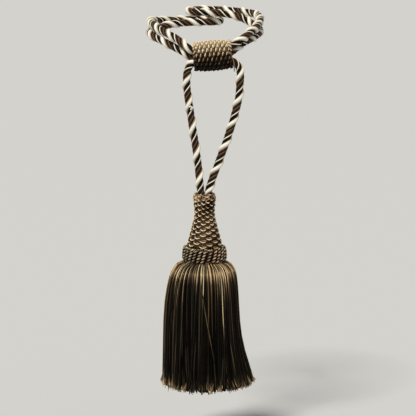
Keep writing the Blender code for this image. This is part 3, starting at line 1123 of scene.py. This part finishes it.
def skirt_threads(name, bundles, per, depth, radius, painted_sheen, seed):
    """Cut threads in bunches, from inside the collar, over the shoulder and down to the hem. depth
    is the least and the most that they lie in from the skirt's outside."""
    pick = Bunches(bundles, per, seed)
    share = np.array(FALL)[None, :]
    # Round the skirt: the bunch's middle, the thread's place across it from -1 to 1, how it strays
    middle = pick.column(TAU * (np.arange(bundles) + 0.5) / bundles) + pick.bunch_sway(0.014)
    aside = np.tile(np.linspace(-1.0, 1.0, per), bundles)[:, None] + pick.sway(0.12)
    aside = aside * pick.bunch_between(0.88, 1.30)
    light = pick.between(0.0, 1.0) < LIGHT_SHARE
    deep = depth[0] + (depth[1] - depth[0]) * pick.between(0.0, 1.0) * (1.0 - light)
    end = hem_height(middle) + np.minimum(pick.sway(1.2), 3.0)
    z = THREAD_TOP + (end - THREAD_TOP) * share
    fan = 0.74 + 0.30 * smooth_share(-z, 206.0, 246.0)
    drift = pick.sway(0.024) + pick.bunch_sway(0.014)
    drift = drift * (1.0 + 2.4 * light) * share ** 1.5
    wave = 0.008 * np.sin(share * pick.between(3.0, 8.0) + pick.between(0.0, TAU))
    curl = pick.sway(0.028) * smooth_share(share, 0.86, 1.0)
    a = middle + aside * (math.pi / bundles) * fan + drift + wave * share + curl
    # Out from the middle: straight up inside the collar, then on the skirt, rounded over the bunch
    outer = skirt_radius(a, np.minimum(z, -201.1))
    blend = smooth_share(-z, 199.2, 201.8)
    hollow = 0.9 * (1.0 - np.sqrt(1.0 - np.minimum(0.8 * np.abs(aside), 1.0) ** 2))
    hollow = hollow * (1.0 - 0.75 * smooth_share(-z, 215.0, 255.0))
    r = pick.between(15.4, 17.0) * (1 - blend) + (outer - radius - deep - hollow) * blend
    r = r + np.minimum(pick.sway(0.35) * share ** 2, 0.4)
    thick = radius * (0.72 + 0.28 * smooth_share(-z, 200.0, 225.0)) * (1.0 - 0.25 * light)
    # Tint: low down the skirt, high on the shoulder, palest mid-bunch and just below the collar. The
    # pale shoulder is painted sheen that fades down the skirt and is strongest on one side, and the pale
    # mid-bunch and the band below the collar are painted highlights.
    own = pick.sway(0.08) + pick.bunch_sway(0.03)
    low = 0.09 + 0.9 * own + light * pick.between(0.06, 0.31)
    high = painted_sheen + 2.2 * own + pick.bunch_sway(0.05) + 0.42 * light - 0.14 * np.abs(aside)
    high = high + 0.10 * np.cos(middle - math.radians(PAINTED_SHEEN_SIDE_DEG)) - 0.05
    high = high + 0.36 * np.exp(-(aside / 0.14) ** 2) + 0.36 * np.exp(-((z + 208.5) / 4.0) ** 2)
    longer = 6.0 * (pick.rng.exponential(1.0, (bundles * per, 1)) - 1.0)
    lit = np.interp(z + longer + 8.0 * (0.3 - np.abs(aside)), *np.array(SHOULDER_PAINTED_SHEEN).T)
    tip = pick.between(0.08, 0.54) * (pick.between(0.0, 1.0) > 0.35)
    tip = tip * smooth_share(end - z, -8.0, -0.5)
    tint = np.clip(low + (high - low) * lit + tip, 0.02, 0.97)
    hue = pick.between(0.14, 0.69)
    return thread_piece(name, head_place(z, r, a), outward(a), thick, tint, turn=0.5, hue=hue)


def gold_threads(name):
    """The long gold threads that lie on top of the rest, tucked in at both ends."""
    top, foot, high, low, tint = np.array(GOLD_THREADS).T[:, :, None]
    share = np.linspace(0.0, 1.0, 24)[None, :]
    phase = np.arange(len(top))[:, None]
    z = high + (low - high) * share
    a = np.radians(top + (foot - top) * share) + 0.006 * np.sin(9 * share + phase)
    tuck = smooth_share(share, 0.92, 1.0) + smooth_share(-share, -0.06, 0.0)
    r = skirt_radius(a, z) - 0.2 - 1.6 * tuck
    # Those that start low fade in, painted shade where they come out from under the rest; all grow
    # darker over their lower part.
    rise = np.where(high < LOW_START, smooth_share(share, 0.0, 0.35), 1.0)
    shade = 0.08 + (tint - 0.08) * rise * (0.80 + 0.16 * np.sin(math.pi * share))
    shade = shade - 0.45 * tint * smooth_share(share, 0.6, 1.0)
    thread_piece(name, head_place(z, r, a), outward(a), 0.34, shade, turn=0.5)


def hem_tips(name, clusters, per, seed):
    """Clusters of pale thread ends that curl outwards and aside at the hem."""
    pick = Bunches(clusters, per, seed)
    share = np.linspace(0.0, 1.0, 9)[None, :]
    first = TAU * (pick.column(np.arange(clusters)) + pick.bunch_between(0.2, 0.8)) / clusters
    first = first + pick.sway(0.034)
    a = first + (pick.bunch_sway(0.045) + pick.sway(0.025)) * share ** 1.6
    end = hem_height(first) + np.minimum(pick.sway(1.3) - 0.4, 2.5)
    top = end + pick.between(7.0, 17.0)
    z = top + (end - top) * share
    out_by = 0.9 * np.abs(pick.sway(1.0)) * share ** 2.5
    r = skirt_radius(a, np.maximum(z, HEM_LEVEL)) - 1.2 * (1.0 - share) + out_by - 0.3
    tint = 0.15 + (pick.bunch_between(0.26, 0.80) + pick.sway(0.10)) * share ** 1.35
    hue = pick.between(0.3, 0.8)
    thread_piece(name, head_place(z, r, a), outward(a), 0.27, tint, turn=0.5, hue=hue)


def cut_ends(name, count, radius, seed):
    """The cut ends that fill the underside of the skirt."""
    rng = np.random.default_rng(seed)
    i = np.arange(count) + 0.5
    a = i * GOLDEN_ANGLE + rng.normal(0.0, 0.02, count)
    share = np.sqrt(i / count) * 0.95
    r = share * (skirt_radius(a, np.full(count, HEM_LEVEL)) - FILLING_IN)
    end = hem_height(a) + 1.6 * (1 - share) + rng.normal(0.0, 0.8, count)
    low = head_place(end, r, a) + np.outer(1 - share, (2.0, 0.0, 0.0))
    lean = rng.normal(0.0, 0.5, (count, 2))
    top = low + np.column_stack([lean, np.full(count, 9.0)])
    tint = np.clip(rng.normal(0.34, 0.10, (count, 1)), 0.05, 0.95)
    thread_piece(name, np.stack([top, low], axis=1), (1.0, 0.0, 0.0), radius, tint)


def filling_radius(a, height, radius):
    """The filling has its own radius at the neck; where that is 0 it follows the skirt's outside."""
    if radius > 0.0:
        return np.full(len(a), radius)
    return skirt_radius(a, np.full(len(a), height)) - FILLING_IN


def make_skirt():
    """Layers of threads over a dark filling, and the cut ends below."""
    outer = skirt_threads("skirt_threads_outer", BUNDLES, 9, (0.1, 0.8), 0.44, 0.36, 21)
    skirt_threads("skirt_threads_inner", 53, 8, (1.1, 2.0), 0.50, 0.29, 22)
    gold_threads("skirt_gold_threads")
    hem_tips("skirt_hem_tips", 40, 7, 24)
    cut_ends("skirt_cut_ends", 1900, 0.72, 23)
    # The filling's near-black is painted shade, where the threads inside the skirt lie in shade.
    neck = [(-191.0, 11.8), (-199.0, 11.8), (-199.1, 14.8)]
    profile = neck + [(z, 0.0) for z in np.linspace(-201.2, -303.0, 24)]
    filling = lathe(
        "skirt_filling", profile, head_place, 96, GROUND, closed=True, shape=filling_radius,
    )
    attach(filling, "root")
    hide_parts("skirt")


make_skirt()

# ---------------- stage and light

FLOOR_HALF = 6.0                # metres, as is its height
FLOOR_Z = -0.36
FLOOR_COLOUR = (0.56, 0.56, 0.55, 1.0)
WORLD_COLOUR = (0.88, 0.89, 0.90, 1.0)
WORLD_STRENGTH = 0.36
SUN_FROM = (-0.28, -0.52, 0.95)  # the way to the sun
SUN_STRENGTH = 3.2
SUN_WIDTH_DEG = 14.0
SUN_COLOUR = (1.0, 0.97, 0.91)


def make_stage():
    """A pale floor below the hanging tassel and a pale world."""
    data = bpy.data.meshes.new("floor")
    corners = [(-1, -1), (1, -1), (1, 1), (-1, 1)]
    data.from_pydata([(x * FLOOR_HALF, y * FLOOR_HALF, FLOOR_Z) for x, y in corners], [], [(0, 1, 2, 3)])
    look, _, shader = new_look("floor_paper", 0.95, 0.1)
    shader.inputs["Base Color"].default_value = FLOOR_COLOUR
    data.materials.append(look)
    placed("floor", data)
    world = bpy.data.worlds.new("studio")
    world.use_nodes = True
    ground = world.node_tree.nodes["Background"]
    ground.inputs["Color"].default_value = WORLD_COLOUR
    ground.inputs["Strength"].default_value = WORLD_STRENGTH
    bpy.context.scene.world = world
    bpy.context.scene.view_settings.view_transform = "Standard"


def make_lights():
    """A soft sun from above in front, a little to the left."""
    data = bpy.data.lights.new("key", "SUN")
    data.energy = SUN_STRENGTH
    data.angle = math.radians(SUN_WIDTH_DEG)
    data.color = SUN_COLOUR
    made = placed("key", data)
    made.location = SUN_FROM
    made.rotation_euler = Vector(SUN_FROM).to_track_quat("Z", "Y").to_euler()


make_stage()
make_lights()
